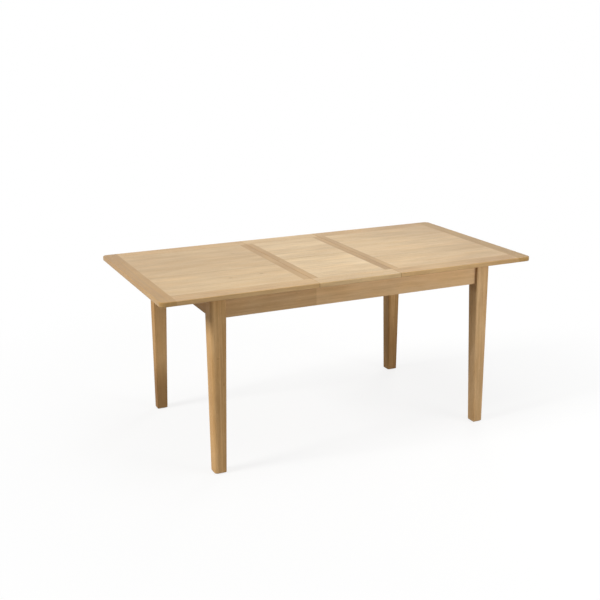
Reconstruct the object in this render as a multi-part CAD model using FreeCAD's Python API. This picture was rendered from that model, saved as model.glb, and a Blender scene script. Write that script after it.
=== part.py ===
import FreeCAD, Part
import os

from FreeCAD import Rotation, Vector

# Extending dining table in oak, drawn out, with its folding centre leaf in place.
# Millimetres. X runs along the table, Y from the front edge to the rear edge, Z up from the floor.
# The origin is on the floor, under the middle of the drawn-out top.
# The two half tops are one design: the right half is the left half turned half round about Z.

# Overall sizes with the leaf in place
TABLE_LENGTH = 1720.0
TABLE_WIDTH = 870.0
TABLE_HEIGHT = 760.0
LEAF_LENGTH = 380.0

# Boards of the top
TOP_THICKNESS = 20.0
END_BOARD_WIDTH = 65.0
SIDE_RAIL_WIDTH = 80.0
CROSSBAND_WIDTH = 32.0
LEAF_BAND_WIDTH = 32.0
PLAN_CORNER_RADIUS = 22.0
EDGE_RADIUS = 3.5
SEAM_GAP = 0.5
SEAM_ARRIS = 1.0
TONGUE_LENGTH = 12.0
TONGUE_THICKNESS = 7.0
TONGUE_SHOULDER = 25.0
GROOVE_CLEARANCE = 0.2

# Legs and aprons
END_OVERHANG = 17.0
SIDE_OVERHANG = 20.0
LEG_SIDE = 65.0
LEG_FOOT_SIDE = 45.0
LEG_ARRIS_RADIUS = 3.0
LEG_ARRIS_FLATS = 4
APRON_HEIGHT = 80.0
APRON_THICKNESS = 22.0
APRON_SETBACK = 12.0
APRON_CHAMFER = 2.0
TENON_LENGTH = 18.0
TENON_THICKNESS = 8.0
TENON_SHOULDER = 10.0
GLIDE_RADIUS = 15.0
GLIDE_THICKNESS = 3.0
GLIDE_FLARE = 1.5
GLIDE_SIDES = 24

# Slip pads between the frame and the sliding tops
PAD_LENGTH = 60.0
PAD_WIDTH = 14.0
PAD_GAP = 2.0
PAD_CLEARANCE = 0.2
PAD_SHARE = 0.55

# Corner braces with their leg bolts and flange nuts
BRACE_WIDTH = 24.0
BRACE_HEIGHT = 30.0
BRACE_LEG_GAP = 3.0
BOLT_RADIUS = 4.0
BOLT_BITE = 30.0
BOLT_TAIL = 12.0
BOLT_HOLE_CLEARANCE = 0.5
BOLT_SIDES = 12
NUT_RADIUS = 7.5
NUT_HEIGHT = 6.5
NUT_FLANGE_RADIUS = 9.0
NUT_FLANGE_THICKNESS = 1.5
NUT_SIDES = 6

# Guide rails, and the runners that slide along them
GUIDE_THICKNESS = 24.0
GUIDE_HEIGHT = 46.0
GUIDE_TOP_GAP = 4.0
GUIDE_LEG_GAP = 2.5
GROOVE_DEPTH = 8.0
GROOVE_HEIGHT = 9.0
RUNNER_WIDTH = 22.0
RUNNER_HEIGHT = 42.0
RUNNER_TIP_GAP = 40.0
RUNNER_LEG_CLEARANCE = 4.0
SLIDE_CLEARANCE = 0.4
LEAF_SEAT_CLEARANCE = 0.3
RELEASE_TRAVEL = 30.0
STOP_CLEARANCE = 0.5

# Cross rails that carry the guide rails, the leaf's pivots and the rest for the stowed leaf
CROSS_RAIL_WIDTH = 40.0
CROSS_RAIL_HEIGHT = 30.0
CROSS_RAIL_CLEARANCE = 6.0
CROSS_RAIL_HOUSING = 8.0
REST_RAIL_WIDTH = 30.0
REST_RAIL_THICKNESS = 16.0
REST_CLEARANCE = 0.5
REST_SHARE = 0.42

# Leaf pivot: blocks, bushes, pins and the battens that hold the pins
PIVOT_DROP = 11.0
PIVOT_BLOCK_LENGTH = 60.0
PIVOT_BLOCK_TOP_GAP = 2.0
PIN_RADIUS = 5.0
PIN_END_GAP = 2.0
PIN_CLEARANCE = 0.06
BUSH_WALL = 2.0
BATTEN_WIDTH = 30.0
BATTEN_THICKNESS = 19.0
BATTEN_SET_IN = 10.0
BATTEN_FOLD_GAP = 15.0
BATTEN_RUNNER_GAP = 8.0
BATTEN_END_CHAMFER = 8.0

# Stiffening batten under each half top
TOP_BATTEN_WIDTH = 50.0
TOP_BATTEN_PLACE_SHARE = 0.22

# Barrel hinges between the two halves of the leaf
FOLD_GAP = 0.5
FOLD_AXIS_RISE = 0.4
BARREL_RADIUS = 6.0
BARREL_DEPTH = 22.0
BARREL_SIDES = 16
LINK_THICKNESS = 2.4
LINK_HEIGHT = 8.0
LINK_REACH = 3.0
LINK_SLOT_CLEARANCE = 0.5
LINK_SLOT_DEPTH = 6.0
HINGE_PLACE_SHARES = (-0.7, 0.0, 0.7)

# Countersunk wood screws
SCREW_RADIUS = 2.0
SCREW_HEAD_RADIUS = 4.0
SCREW_HEAD_HEIGHT = 2.5
SCREW_POINT_LENGTH = 5.0
SCREW_POINT_RADIUS = 0.5
SCREW_SIDES = 8
SCREW_COVER = 8.0
COUNTERBORE_DEPTH = 4.0
COUNTERBORE_CLEARANCE = 0.5
CROSS_RAIL_SCREW_BITE = 20.0
PIVOT_BLOCK_SCREW_BITE = 25.0
RUNNER_SCREW_SHARES = (0.1, 0.5, 0.9)
BATTEN_SCREW_SHARES = (0.18, 0.82)
PIVOT_BLOCK_SCREW_SHARES = (0.2, 0.8)

# One overrun serves every cut, one small distance tells which edges lie on a face
OVERRUN = 5.0
TOUCH = 0.001

# Heights worked out from the sizes above
TOP_Z = TABLE_HEIGHT
UNDERSIDE_Z = TOP_Z - TOP_THICKNESS
MID_TOP_Z = TOP_Z - TOP_THICKNESS / 2
FRAME_TOP_Z = UNDERSIDE_Z - PAD_GAP
APRON_BOTTOM_Z = FRAME_TOP_Z - APRON_HEIGHT
GUIDE_TOP_Z = UNDERSIDE_Z - GUIDE_TOP_GAP
GUIDE_BOTTOM_Z = GUIDE_TOP_Z - GUIDE_HEIGHT
GROOVE_MID_Z = GUIDE_BOTTOM_Z + GUIDE_HEIGHT / 2
RUNNER_BOTTOM_Z = UNDERSIDE_Z - RUNNER_HEIGHT
CROSS_RAIL_BOTTOM_Z = GUIDE_BOTTOM_Z - CROSS_RAIL_HEIGHT
BATTEN_BOTTOM_Z = UNDERSIDE_Z - BATTEN_THICKNESS
PIVOT_Z = UNDERSIDE_Z - PIVOT_DROP
SCREW_TIP_Z = TOP_Z - SCREW_COVER

# Plan places worked out from the sizes above
HALF_WIDTH = TABLE_WIDTH / 2
SEAM_X = LEAF_LENGTH / 2
TOP_IN_X = SEAM_X + SEAM_GAP / 2
LEAF_OUT_X = SEAM_X - SEAM_GAP / 2
LEG_OUT_X = (TABLE_LENGTH - LEAF_LENGTH) / 2 - END_OVERHANG
LEG_OUT_Y = HALF_WIDTH - SIDE_OVERHANG
LEG_IN_X = LEG_OUT_X - LEG_SIDE
LEG_IN_Y = LEG_OUT_Y - LEG_SIDE
APRON_OUT_X = LEG_OUT_X - APRON_SETBACK
APRON_OUT_Y = LEG_OUT_Y - APRON_SETBACK
APRON_IN_X = APRON_OUT_X - APRON_THICKNESS
APRON_IN_Y = APRON_OUT_Y - APRON_THICKNESS
APRON_MID_X = APRON_OUT_X - APRON_THICKNESS / 2
APRON_MID_Y = APRON_OUT_Y - APRON_THICKNESS / 2
RAIL_IN_Y = HALF_WIDTH - SIDE_RAIL_WIDTH
GUIDE_OUT_Y = LEG_IN_Y - GUIDE_LEG_GAP
GUIDE_IN_Y = GUIDE_OUT_Y - GUIDE_THICKNESS
RUNNER_OUT_X = LEG_IN_X - RELEASE_TRAVEL - RUNNER_LEG_CLEARANCE
RUNNER_TIP_X = LEAF_OUT_X - RUNNER_TIP_GAP
BAND_OUT_X = TOP_IN_X + CROSSBAND_WIDTH
GROOVE_STOP_X = RUNNER_OUT_X + RELEASE_TRAVEL + STOP_CLEARANCE
CROSS_RAIL_IN_X = LEAF_OUT_X + CROSS_RAIL_CLEARANCE
CROSS_RAIL_OUT_X = CROSS_RAIL_IN_X + CROSS_RAIL_WIDTH
CROSS_RAIL_MID_X = CROSS_RAIL_IN_X + CROSS_RAIL_WIDTH / 2
PIVOT_Y = -HALF_WIDTH / 4
OUTER_LANE_Y = GUIDE_OUT_Y + SLIDE_CLEARANCE
INNER_LANE_Y = GUIDE_IN_Y - SLIDE_CLEARANCE
BATTEN_OUT_Y = INNER_LANE_Y - RUNNER_WIDTH - BATTEN_RUNNER_GAP

# Names for the two ends and the two sides
ENDS = {"left": -1, "right": 1}
SIDES = {"front": -1, "rear": 1}
OPPOSITE = {"left": "right", "right": "left", "front": "rear", "rear": "front"}


def block(x, y, z):
    """Box between two values of X, of Y and of Z, each pair given in either order."""
    low = Vector(min(x), min(y), min(z))
    size = Vector(max(x), max(y), max(z)) - low
    return Part.makeBox(size.x, size.y, size.z, low)


def flat_face(corners):
    """Flat face with given corners."""
    return Part.Face(Part.makePolygon(corners + corners[:1]))


def flat_sided(outlines):
    """Solid with flat faces from each outline to the next, all with the same number of corners."""
    faces = [flat_face(outlines[0]), flat_face(outlines[-1])]
    for low, high in zip(outlines, outlines[1:]):
        for turn in range(len(low)):
            faces.append(flat_face([low[turn - 1], low[turn], high[turn], high[turn - 1]]))
    return Part.makeSolid(Part.makeShell(faces)).removeSplitter()


def prism(points, z):
    """Upright prism over a plan outline, between two heights."""
    outline = [Vector(px, py, min(z)) for px, py in points]
    return flat_face(outline).extrude(Vector(0, 0, max(z) - min(z)))


def joined(shapes):
    """One solid from solids that meet."""
    return shapes[0].multiFuse(shapes[1:]).removeSplitter()


def group(shapes):
    """Separate solids kept together as one node."""
    return Part.makeCompound(shapes)


def edge_points(edge):
    """The two ends and the middle of an edge."""
    middle = edge.valueAt((edge.FirstParameter + edge.LastParameter) / 2)
    return [vertex.Point for vertex in edge.Vertexes] + [middle]


def chamfer_where(shape, size, wanted):
    """Chamfer each edge that passes the test at its ends and its middle."""
    edges = [edge for edge in shape.Edges if all(wanted(point) for point in edge_points(edge))]
    return shape.makeChamfer(size, edges)


def same(one, other):
    """True where two places are the same."""
    return abs(one - other) < TOUCH


def turned(shape):
    """Copy turned half round about the table's upright centre line."""
    copy = shape.copy()
    copy.rotate(Vector(0, 0, 0), Vector(0, 0, 1), 180)
    return copy


def opposite_name(name):
    """Node name of the piece that a half turn brings to the other end and side."""
    return "_".join(OPPOSITE.get(word, word) for word in name.split("_"))


def pointed(shape, place, direction):
    """Copy of a shape built along +Z, moved to a place and pointed along a direction."""
    copy = shape.copy()
    copy.Placement = FreeCAD.Placement(place, Rotation(Vector(0, 0, 1), direction))
    return copy


def upright_turn(degrees):
    """Turn about the Z axis."""
    return Rotation(Vector(0, 0, 1), degrees)


def ring(radius, sides, z):
    """Corners of a regular outline round the Z axis, at one height."""
    return [upright_turn(360 / sides * turn).multVec(Vector(radius, 0, z)) for turn in range(sides)]


def rod(radius, length, sides):
    """Straight many-sided rod along +Z from the origin."""
    return flat_face(ring(radius, sides, 0)).extrude(Vector(0, 0, length))


def wood_screw(length):
    """Countersunk screw along +Z, with the flat of its head at the origin."""
    stations = (
        (SCREW_HEAD_RADIUS, 0),
        (SCREW_RADIUS, SCREW_HEAD_HEIGHT),
        (SCREW_RADIUS, length - SCREW_POINT_LENGTH),
        (SCREW_POINT_RADIUS, length),
    )
    return flat_sided([ring(radius, SCREW_SIDES, z) for radius, z in stations])


def screw_up(x, y, z_head, z_tip):
    """Screw driven upwards from a head height to a tip height."""
    return pointed(wood_screw(z_tip - z_head), Vector(x, y, z_head), Vector(0, 0, 1))


def screw_down(x, y, z_head, z_tip):
    """Screw driven downwards from a head height to a tip height."""
    return pointed(wood_screw(z_head - z_tip), Vector(x, y, z_head), Vector(0, 0, -1))


def spread(start, end, shares):
    """Places at given shares of the way from a start to an end."""
    return [start + (end - start) * share for share in shares]


# Boards of the top


def arris_bar(start, end, into_face, down_edge):
    """Diamond bar along an edge, which takes the edge off at 45 degrees."""
    across = into_face * SEAM_ARRIS
    down = down_edge * SEAM_ARRIS
    return flat_face([start + across, start + down, start - across, start - down]).extrude(end - start)


def seam_cutters(x, y, side):
    """Bars that ease the top edge of one seam side, and its upright edges at the table's rim."""
    lane = {"left": min(x), "right": max(x)}
    if side in lane:
        seam = lane[side]
        inward = Vector(-ENDS[side], 0, 0)
        cutters = [
            arris_bar(
                Vector(seam, min(y) - OVERRUN, TOP_Z),
                Vector(seam, max(y) + OVERRUN, TOP_Z),
                inward,
                Vector(0, 0, -1),
            )
        ]
        for sign in SIDES.values():
            foot = Vector(seam, sign * HALF_WIDTH, UNDERSIDE_Z - OVERRUN)
            head = Vector(seam, sign * HALF_WIDTH, TOP_Z + OVERRUN)
            cutters.append(arris_bar(foot, head, inward, Vector(0, -sign, 0)))
        return cutters
    seam = {"front": min(y), "rear": max(y)}[side]
    start = Vector(min(x) - OVERRUN, seam, TOP_Z)
    end = Vector(max(x) + OVERRUN, seam, TOP_Z)
    return [arris_bar(start, end, Vector(0, -SIDES[side], 0), Vector(0, 0, -1))]


def top_blank(x, y, seams):
    """Slab of the top over a plan rectangle: outer edges rounded, seam edges eased."""
    rims = {"left": min(x), "right": max(x), "front": min(y), "rear": max(y)}

    def is_rim(point):
        on_x = [side for side in ENDS if same(point.x, rims[side]) and side not in seams]
        on_y = [side for side in SIDES if same(point.y, rims[side]) and side not in seams]
        return bool(on_x), bool(on_y)

    def along_side(points, side):
        return all(same(point.x if side in ENDS else point.y, rims[side]) for point in points)

    slab = block(x, y, (UNDERSIDE_Z, TOP_Z))
    plan_corners = [edge for edge in slab.Edges if all(all(is_rim(point)) for point in edge_points(edge))]
    if plan_corners:
        slab = slab.makeFillet(PLAN_CORNER_RADIUS, plan_corners)
    flat_edges = []
    for edge in slab.Edges:
        points = edge_points(edge)
        level = same(points[0].z, points[-1].z)
        if level and not any(along_side(points, side) for side in seams):
            flat_edges.append(edge)
    slab = slab.makeFillet(EDGE_RADIUS, flat_edges)
    cutters = [cutter for side in seams for cutter in seam_cutters(x, y, side)]
    return slab.cut(group(cutters))


def board(blank, x, y):
    """One board of a blank, between two values of X and of Y."""
    return blank.common(block(x, y, (UNDERSIDE_Z - OVERRUN, TOP_Z + OVERRUN)))


def tongue(x_end, clearance):
    """Stopped tongue that keys a field panel into its end board, grown by a clearance for the groove."""
    half_width = RAIL_IN_Y - TONGUE_SHOULDER + clearance
    half_height = TONGUE_THICKNESS / 2 + clearance
    return block(
        (x_end - TONGUE_LENGTH - clearance, x_end),
        (-half_width, half_width),
        (MID_TOP_Z - half_height, MID_TOP_Z + half_height),
    )


def half_top_boards():
    """End board, two side rails, crossband and field panel of the left half top."""
    x = (-TABLE_LENGTH / 2, -TOP_IN_X)
    y = (-HALF_WIDTH, HALF_WIDTH)
    blank = top_blank(x, y, ("right",))
    past_end = x[0] - OVERRUN
    past_seam = x[1] + OVERRUN
    past_rim = HALF_WIDTH + OVERRUN
    end_x = x[0] + END_BOARD_WIDTH
    band_x = -BAND_OUT_X
    inside = (-RAIL_IN_Y, RAIL_IN_Y)
    end_board = board(blank, (past_end, end_x), (-past_rim, past_rim))
    field = board(blank, (end_x, band_x), inside)
    return {
        "left_end_board": end_board.cut(tongue(end_x, GROOVE_CLEARANCE)),
        "left_field_panel": joined([field, tongue(end_x, 0)]),
        "left_front_rail": board(blank, (end_x, past_seam), (-past_rim, -RAIL_IN_Y)),
        "left_rear_rail": board(blank, (end_x, past_seam), (RAIL_IN_Y, past_rim)),
        "left_crossband": board(blank, (band_x, past_seam), inside),
    }


# Runners and battens of a half top


def runner(y_guide, y_outward):
    """Runner of the left half top: bar with a tongue for the guide rail's groove, eased under the leaf.

    y_guide is its face beside the guide rail, and y_outward the sign of Y away from that rail.
    """
    x = (-RUNNER_OUT_X, RUNNER_TIP_X)
    bar = block(x, (y_guide, y_guide + y_outward * RUNNER_WIDTH), (RUNNER_BOTTOM_Z, UNDERSIDE_Z))
    relief = block(
        (-TOP_IN_X, RUNNER_TIP_X + OVERRUN),
        (y_guide - y_outward * OVERRUN, y_guide + y_outward * (RUNNER_WIDTH + OVERRUN)),
        (UNDERSIDE_Z - LEAF_SEAT_CLEARANCE, UNDERSIDE_Z + OVERRUN),
    )
    half_height = GROOVE_HEIGHT / 2 - SLIDE_CLEARANCE
    key = block(
        x,
        (y_guide, y_guide - y_outward * GROOVE_DEPTH),
        (GROOVE_MID_Z - half_height, GROOVE_MID_Z + half_height),
    )
    return joined([bar.cut(relief), key])


def runner_lanes():
    """Face beside the guide rail and outward sign of the left half top's front and rear runners."""
    return {"front": (-OUTER_LANE_Y, -1), "rear": (INNER_LANE_Y, -1)}


def under_field(shares):
    """Values of X at given shares of the way from the left runners' outer end to the left crossband."""
    return spread(-RUNNER_OUT_X, -BAND_OUT_X, shares)


def runner_screws(y):
    """Screws up through one runner into the half top."""
    head_z = RUNNER_BOTTOM_Z + COUNTERBORE_DEPTH
    return [screw_up(x, y, head_z, SCREW_TIP_Z) for x in under_field(RUNNER_SCREW_SHARES)]


def counterbores(y):
    """Holes in a runner's lower face that let its screw heads in."""
    hole = rod(SCREW_HEAD_RADIUS + COUNTERBORE_CLEARANCE, COUNTERBORE_DEPTH + OVERRUN, SCREW_SIDES)
    places = [Vector(x, y, RUNNER_BOTTOM_Z - OVERRUN) for x in under_field(RUNNER_SCREW_SHARES)]
    return [pointed(hole, place, Vector(0, 0, 1)) for place in places]


def batten_screws(x, y_span):
    """Screws up through a batten along Y into the boards above it."""
    places = spread(y_span[0], y_span[1], BATTEN_SCREW_SHARES)
    return [screw_up(x, y, BATTEN_BOTTOM_Z, SCREW_TIP_Z) for y in places]


def half_top():
    """All nodes of the left half top."""
    nodes = half_top_boards()
    runner_fixings = []
    for side, (y_guide, outward) in runner_lanes().items():
        y_mid = y_guide + outward * RUNNER_WIDTH / 2
        fixings = runner_screws(y_mid)
        bar = runner(y_guide, outward)
        nodes["left_" + side + "_runner"] = bar.cut(group(fixings + counterbores(y_mid)))
        runner_fixings += fixings
    x_mid = under_field([TOP_BATTEN_PLACE_SHARE])[0]
    y_span = (-BATTEN_OUT_Y, BATTEN_OUT_Y)
    x_span = (x_mid - TOP_BATTEN_WIDTH / 2, x_mid + TOP_BATTEN_WIDTH / 2)
    batten_fixings = batten_screws(x_mid, y_span)
    nodes["left_batten"] = eased_batten(x_span, y_span).cut(group(batten_fixings))
    drilled = group(runner_fixings + batten_fixings)
    for name in ("left_field_panel", "left_front_rail"):
        nodes[name] = nodes[name].cut(drilled)
    nodes["left_runner_screws"] = group(runner_fixings)
    nodes["left_batten_screws"] = group(batten_fixings)
    return nodes


def eased_batten(x, y):
    """Batten along Y under the top, with its two lower ends chamfered."""
    bar = block(x, y, (BATTEN_BOTTOM_Z, UNDERSIDE_Z))

    def lower_end(point):
        return same(point.z, BATTEN_BOTTOM_Z) and (same(point.y, y[0]) or same(point.y, y[1]))

    return chamfer_where(bar, BATTEN_END_CHAMFER, lower_end)


# Leaf: two halves that fold together face to face


def leaf_span(side):
    """Values of Y at the fold and at the rim of one half of the leaf."""
    sign = SIDES[side]
    return sign * FOLD_GAP / 2, sign * HALF_WIDTH


def leaf_boards(side):
    """Panel, side rail and two crossbands of one half of the leaf."""
    sign = SIDES[side]
    fold, rim = leaf_span(side)
    x = (-LEAF_OUT_X, LEAF_OUT_X)
    blank = top_blank(x, (fold, rim), ("left", "right", OPPOSITE[side]))
    band_x = LEAF_OUT_X - LEAF_BAND_WIDTH
    past_x = LEAF_OUT_X + OVERRUN
    past_rim = rim + sign * OVERRUN
    past_fold = fold - sign * OVERRUN
    rail_y = sign * RAIL_IN_Y
    name = "leaf_" + side
    return {
        name + "_panel": board(blank, (-band_x, band_x), (past_fold, rail_y)),
        name + "_rail": board(blank, (-past_x, past_x), (rail_y, past_rim)),
        name + "_left_band": board(blank, (-past_x, -band_x), (past_fold, rail_y)),
        name + "_right_band": board(blank, (band_x, past_x), (past_fold, rail_y)),
    }


def hinge_places():
    """Values of X of the barrel hinges, set out along the leaf panel."""
    half_panel = LEAF_OUT_X - LEAF_BAND_WIDTH
    return [half_panel * share for share in HINGE_PLACE_SHARES]


def barrel(x, side):
    """Round hinge body let into the fold edge of one half of the leaf."""
    fold = leaf_span(side)[0]
    mouth = Vector(x, fold, MID_TOP_Z)
    return pointed(rod(BARREL_RADIUS, BARREL_DEPTH, BARREL_SIDES), mouth, Vector(0, SIDES[side], 0))


def front_hinge(x):
    """Front hinge body with the link that reaches across the fold."""
    fold = leaf_span("front")[0]
    reach = leaf_span("rear")[0] + LINK_REACH
    link = block(
        (x - LINK_THICKNESS / 2, x + LINK_THICKNESS / 2),
        (fold, reach),
        (MID_TOP_Z - LINK_HEIGHT / 2, MID_TOP_Z + LINK_HEIGHT / 2),
    )
    return joined([barrel(x, "front"), link])


def rear_hinge(x):
    """Rear hinge body, slotted from its face for the link."""
    fold = leaf_span("rear")[0]
    half_slot = LINK_THICKNESS / 2 + LINK_SLOT_CLEARANCE
    slot = block(
        (x - half_slot, x + half_slot),
        (fold - OVERRUN, fold + LINK_SLOT_DEPTH),
        (MID_TOP_Z - BARREL_RADIUS - OVERRUN, MID_TOP_Z + BARREL_RADIUS + OVERRUN),
    )
    return barrel(x, "rear").cut(slot)


def pivot_batten(side):
    """Batten under the front half of the leaf that holds one pivot pin."""
    sign = ENDS[side]
    outer = sign * (LEAF_OUT_X - BATTEN_SET_IN)
    inner = outer - sign * BATTEN_WIDTH
    return eased_batten((inner, outer), (-BATTEN_OUT_Y, -BATTEN_FOLD_GAP))


def pivot_pin(side):
    """Pin from the inner face of a pivot batten to just short of the outer face of its block."""
    sign = ENDS[side]
    start = LEAF_OUT_X - BATTEN_SET_IN - BATTEN_WIDTH
    length = CROSS_RAIL_OUT_X - PIN_END_GAP - start
    return Part.makeCylinder(PIN_RADIUS, length, Vector(sign * start, PIVOT_Y, PIVOT_Z), Vector(sign, 0, 0))


def leaf():
    """All nodes of the two halves of the leaf."""
    nodes = {}
    for side in SIDES:
        nodes.update(leaf_boards(side))
        bores = group([barrel(x, side) for x in hinge_places()])
        panel = "leaf_" + side + "_panel"
        nodes[panel] = nodes[panel].cut(bores)
    nodes["leaf_front_hinges"] = group([front_hinge(x) for x in hinge_places()])
    nodes["leaf_rear_hinges"] = group([rear_hinge(x) for x in hinge_places()])
    fixings = []
    for side, sign in ENDS.items():
        x_mid = sign * (LEAF_OUT_X - BATTEN_SET_IN - BATTEN_WIDTH / 2)
        screws = batten_screws(x_mid, (-BATTEN_OUT_Y, -BATTEN_FOLD_GAP))
        nodes["leaf_batten_" + side] = pivot_batten(side).cut(group(screws + [pivot_pin(side)]))
        fixings += screws
    for name in ("leaf_front_panel", "leaf_front_left_band", "leaf_front_right_band"):
        nodes[name] = nodes[name].cut(group(fixings))
    nodes["leaf_pivot_pins"] = group([pivot_pin(side) for side in ENDS])
    nodes["leaf_batten_screws"] = group(fixings)
    return nodes


# Legs, aprons and corner braces


def leg_outline(sign_x, sign_y, side, z):
    """Corners of a leg's square section at one height, with each arris rounded in a few flats."""
    middle = Vector(sign_x * (LEG_OUT_X - side / 2), sign_y * (LEG_OUT_Y - side / 2), z)
    reach = side / 2 - LEG_ARRIS_RADIUS
    corners = []
    for quarter in range(4):
        centre = middle + upright_turn(90 * quarter).multVec(Vector(reach, reach, 0))
        for flat in range(LEG_ARRIS_FLATS + 1):
            turn = upright_turn(90 * (quarter + flat / LEG_ARRIS_FLATS))
            corners.append(centre + turn.multVec(Vector(LEG_ARRIS_RADIUS, 0, 0)))
    return corners


def leg(sign_x, sign_y):
    """Square leg: upright on its two outer faces, tapered on its two inner faces below the aprons."""
    stations = ((GLIDE_THICKNESS, LEG_FOOT_SIDE), (APRON_BOTTOM_Z, LEG_SIDE), (FRAME_TOP_Z, LEG_SIDE))
    post = flat_sided([leg_outline(sign_x, sign_y, side, z) for z, side in stations])
    return post.cut(group([long_tenon(sign_x, sign_y), end_tenon(sign_x, sign_y), leg_bolt(sign_x, sign_y)]))


def tenon_heights():
    """Lower and upper face of every apron tenon."""
    return APRON_BOTTOM_Z + TENON_SHOULDER, FRAME_TOP_Z - TENON_SHOULDER


def long_tenon(sign_x, sign_y):
    """Tenon of a front or rear apron in one leg."""
    half = TENON_THICKNESS / 2
    return block(
        (sign_x * LEG_IN_X, sign_x * (LEG_IN_X + TENON_LENGTH)),
        (sign_y * (APRON_MID_Y - half), sign_y * (APRON_MID_Y + half)),
        tenon_heights(),
    )


def end_tenon(sign_x, sign_y):
    """Tenon of an end apron in one leg."""
    half = TENON_THICKNESS / 2
    return block(
        (sign_x * (APRON_MID_X - half), sign_x * (APRON_MID_X + half)),
        (sign_y * LEG_IN_Y, sign_y * (LEG_IN_Y + TENON_LENGTH)),
        tenon_heights(),
    )


def eased_apron(x, y):
    """Apron board between two legs, with its lower edges chamfered."""
    plank = block(x, y, (APRON_BOTTOM_Z, FRAME_TOP_Z))
    long_axis = 0 if abs(x[1] - x[0]) > abs(y[1] - y[0]) else 1
    faces = (x, y)[1 - long_axis]

    def lower_edge(point):
        across = point.y if long_axis == 0 else point.x
        return same(point.z, APRON_BOTTOM_Z) and (same(across, faces[0]) or same(across, faces[1]))

    return chamfer_where(plank, APRON_CHAMFER, lower_edge)


def long_apron(sign_y):
    """Front or rear apron, with its tenons and the housings for the cross rails."""
    plank = eased_apron((-LEG_IN_X, LEG_IN_X), (sign_y * APRON_IN_Y, sign_y * APRON_OUT_Y))
    whole = joined([plank] + [long_tenon(sign_x, sign_y) for sign_x in ENDS.values()])
    return whole.cut(group([cross_rail_blank(sign_x) for sign_x in ENDS.values()]))


def end_apron(sign_x):
    """Left or right apron with its tenons."""
    plank = eased_apron((sign_x * APRON_IN_X, sign_x * APRON_OUT_X), (-LEG_IN_Y, LEG_IN_Y))
    return joined([plank] + [end_tenon(sign_x, sign_y) for sign_y in SIDES.values()])


def brace_heights():
    """Lower and upper face of the corner braces, whose tops carry the guide rails' ends."""
    return GUIDE_BOTTOM_Z - BRACE_HEIGHT, GUIDE_BOTTOM_Z


def brace_lines():
    """Sums of X and Y along the leg side and the room side of a corner brace."""
    leg_side = LEG_IN_X + LEG_IN_Y - BRACE_LEG_GAP * 2**0.5
    return leg_side, leg_side - BRACE_WIDTH * 2**0.5


def corner_brace(sign_x, sign_y):
    """Diagonal board across one corner, with its bolt hole."""
    leg_side, room_side = brace_lines()
    outline = [
        (leg_side - APRON_IN_Y, APRON_IN_Y),
        (APRON_IN_X, leg_side - APRON_IN_X),
        (APRON_IN_X, room_side - APRON_IN_X),
        (room_side - APRON_IN_Y, APRON_IN_Y),
    ]
    plank = prism([(sign_x * px, sign_y * py) for px, py in outline], brace_heights())
    return plank.cut(along_bolt(sign_x, sign_y, BOLT_RADIUS + BOLT_HOLE_CLEARANCE, -BOLT_BITE, bolt_reach()))


def bolt_reach():
    """Distance from the leg's inner edge to the free end of its bolt."""
    return BRACE_LEG_GAP + BRACE_WIDTH + BOLT_TAIL


def bolt_frame(sign_x, sign_y):
    """Point where the bolt leaves the leg's inner edge, and its direction into the room."""
    low, high = brace_heights()
    start = Vector(sign_x * LEG_IN_X, sign_y * LEG_IN_Y, (low + high) / 2)
    return start, Vector(-sign_x, -sign_y, 0).normalize()


def along_bolt(sign_x, sign_y, radius, start, end):
    """Rod on a leg bolt's line between two distances from the leg's inner edge."""
    origin, direction = bolt_frame(sign_x, sign_y)
    return pointed(rod(radius, end - start, BOLT_SIDES), origin + direction * start, direction)


def leg_bolt(sign_x, sign_y):
    """Bolt from inside the leg through its brace."""
    return along_bolt(sign_x, sign_y, BOLT_RADIUS, -BOLT_BITE, bolt_reach())


def leg_bolt_nut(sign_x, sign_y):
    """Flange nut drawn up against the brace."""
    origin, direction = bolt_frame(sign_x, sign_y)
    flange = rod(NUT_FLANGE_RADIUS, NUT_FLANGE_THICKNESS, BOLT_SIDES)
    nut = joined([rod(NUT_RADIUS, NUT_HEIGHT, NUT_SIDES), flange])
    seat = origin + direction * (BRACE_LEG_GAP + BRACE_WIDTH)
    return pointed(nut, seat, direction).cut(leg_bolt(sign_x, sign_y))


def foot_glide(sign_x, sign_y):
    """Round flared glide under the middle of a leg's foot."""
    inset = LEG_FOOT_SIDE / 2
    centre = Vector(sign_x * (LEG_OUT_X - inset), sign_y * (LEG_OUT_Y - inset), 0)
    sole = ring(GLIDE_RADIUS - GLIDE_FLARE, GLIDE_SIDES, 0)
    glide = flat_sided([sole, ring(GLIDE_RADIUS, GLIDE_SIDES, GLIDE_THICKNESS)])
    return pointed(glide, centre, Vector(0, 0, 1))


def slip_pads():
    """Thin pads on the tops of the aprons, two to each apron, under the half tops."""
    z = (FRAME_TOP_Z, UNDERSIDE_Z - PAD_CLEARANCE)
    half_length = PAD_LENGTH / 2
    half_width = PAD_WIDTH / 2
    pads = []
    for sign_x in ENDS.values():
        for sign_y in SIDES.values():
            x = sign_x * LEG_IN_X * PAD_SHARE
            y = sign_y * APRON_MID_Y
            pads.append(block((x - half_length, x + half_length), (y - half_width, y + half_width), z))
            x = sign_x * APRON_MID_X
            y = sign_y * LEG_IN_Y * PAD_SHARE
            pads.append(block((x - half_width, x + half_width), (y - half_length, y + half_length), z))
    return group(pads)


# Sliding gear and leaf supports inside the frame


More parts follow.
